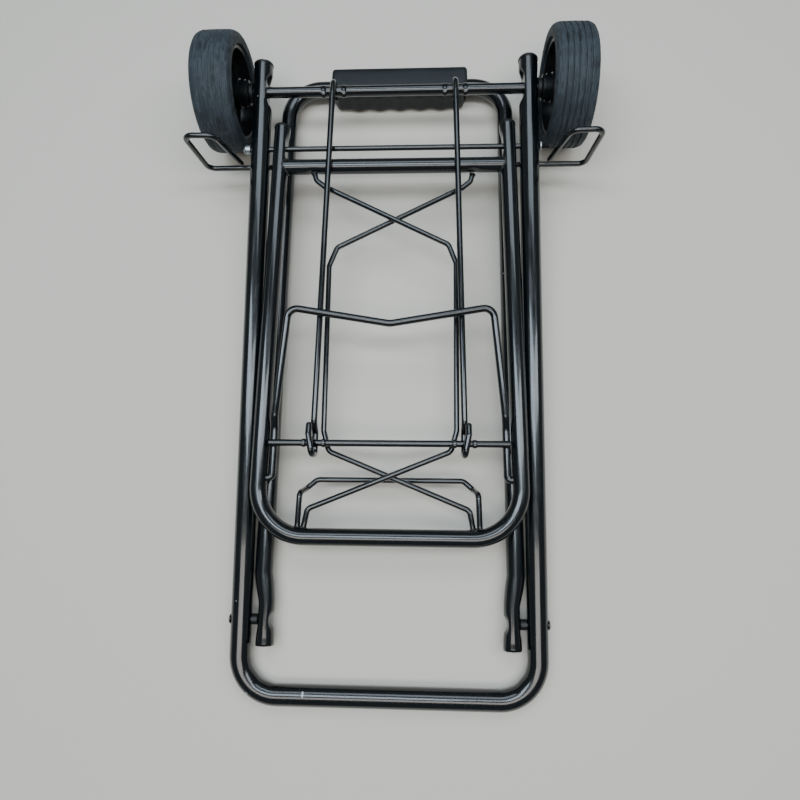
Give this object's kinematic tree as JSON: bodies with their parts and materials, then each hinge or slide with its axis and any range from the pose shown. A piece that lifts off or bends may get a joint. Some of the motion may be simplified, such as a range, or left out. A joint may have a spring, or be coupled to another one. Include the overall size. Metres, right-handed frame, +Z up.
{
  "type": "folding luggage rack",
  "caption": "Folding two-wheeled luggage rack lying folded: bent tube frame, hinged carrying platform with crossed wires, wire foot and struts, swing-out handle.",
  "frame": {"origin": "on the ground under the folded rack, in the middle of its length and width", "axes": "+X along the axle to the right, +Y from the main cross bar towards the wheels and grip, +Z up from the ground"},
  "size_m": [0.3718, 0.6142, 0.107],
  "materials": {
    "black_paint": "gloss",
    "black_plastic": "satin",
    "grip_plastic": "satin",
    "wheel_plastic": "satin",
    "tyre_rubber": "matte",
    "zinc_plate": "satin"
  },
  "bodies": {
    "main": {"main_frame": "black_paint", "main_plug_left": "black_plastic", "main_plug_right": "black_plastic", "axle": "black_paint", "axle_washer_left": "black_plastic", "axle_washer_right": "black_plastic", "axle_cap_left": "zinc_plate", "axle_cap_right": "zinc_plate", "hinge_rod": "black_paint", "hinge_cap_left": "zinc_plate", "hinge_nut_right": "zinc_plate", "guard_wire": "black_paint", "handle_rivet_left": "black_paint", "handle_rivet_right": "black_paint", "handle_spacer_left": "black_plastic", "handle_spacer_right": "black_plastic"},
    "handle": {"handle_frame": "black_paint", "handle_grip": "grip_plastic"},
    "platform": {"platform_frame": "black_paint", "platform_plug_left": "black_plastic", "platform_plug_right": "black_plastic", "platform_crossbar": "black_paint", "cross_wire_upper": "black_paint", "cross_wire_lower": "black_paint", "lip_wire": "black_paint"},
    "foot": {"foot_bail": "black_paint", "foot_cross_rod": "black_paint"},
    "left_strut": {"strut_left": "black_paint"},
    "right_strut": {"strut_right": "black_paint"},
    "left_wheel": {"wheel_hub_left": "wheel_plastic", "tyre_left": "tyre_rubber"},
    "right_wheel": {"wheel_hub_right": "wheel_plastic", "tyre_right": "tyre_rubber"}
  },
  "joints": [
    {"name": "platform_fold", "type": "hinge", "parent": "main", "child": "platform", "pos_m": [0, 0.19529, 0.0488], "axis": [-1, 0, 0], "range_deg": [0, 85]},
    {"name": "foot_swing", "type": "hinge", "parent": "platform", "child": "foot", "pos_m": [0, -0.11579, 0.03716], "axis": [1, 0, 0], "range_deg": [0, 118.3]},
    {"name": "left_strut_swing", "type": "hinge", "parent": "main", "child": "left_strut", "pos_m": [0, 0.2536, 0.0535], "axis": [-1, 0, 0], "range_deg": [0, 78.3]},
    {"name": "right_strut_swing", "type": "hinge", "parent": "main", "child": "right_strut", "pos_m": [0, 0.2536, 0.0535], "axis": [-1, 0, 0], "range_deg": [0, 78.3]},
    {"name": "handle_fold", "type": "hinge", "parent": "main", "child": "handle", "pos_m": [0, -0.2363, 0.01398], "axis": [-1, 0, 0], "range_deg": [0, 158]},
    {"name": "left_wheel_spin", "type": "hinge", "parent": "main", "child": "left_wheel", "pos_m": [0, 0.2536, 0.0535], "axis": [1, 0, 0], "continuous": true},
    {"name": "right_wheel_spin", "type": "hinge", "parent": "main", "child": "right_wheel", "pos_m": [0, 0.2536, 0.0535], "axis": [1, 0, 0], "continuous": true}
  ],
  "couplings": [
    {"joint": "foot_swing", "follows": "platform_fold", "ratio": 1.39},
    {"joint": "left_strut_swing", "follows": "platform_fold", "ratio": 0.92},
    {"joint": "right_strut_swing", "follows": "platform_fold", "ratio": 0.92}
  ]
}
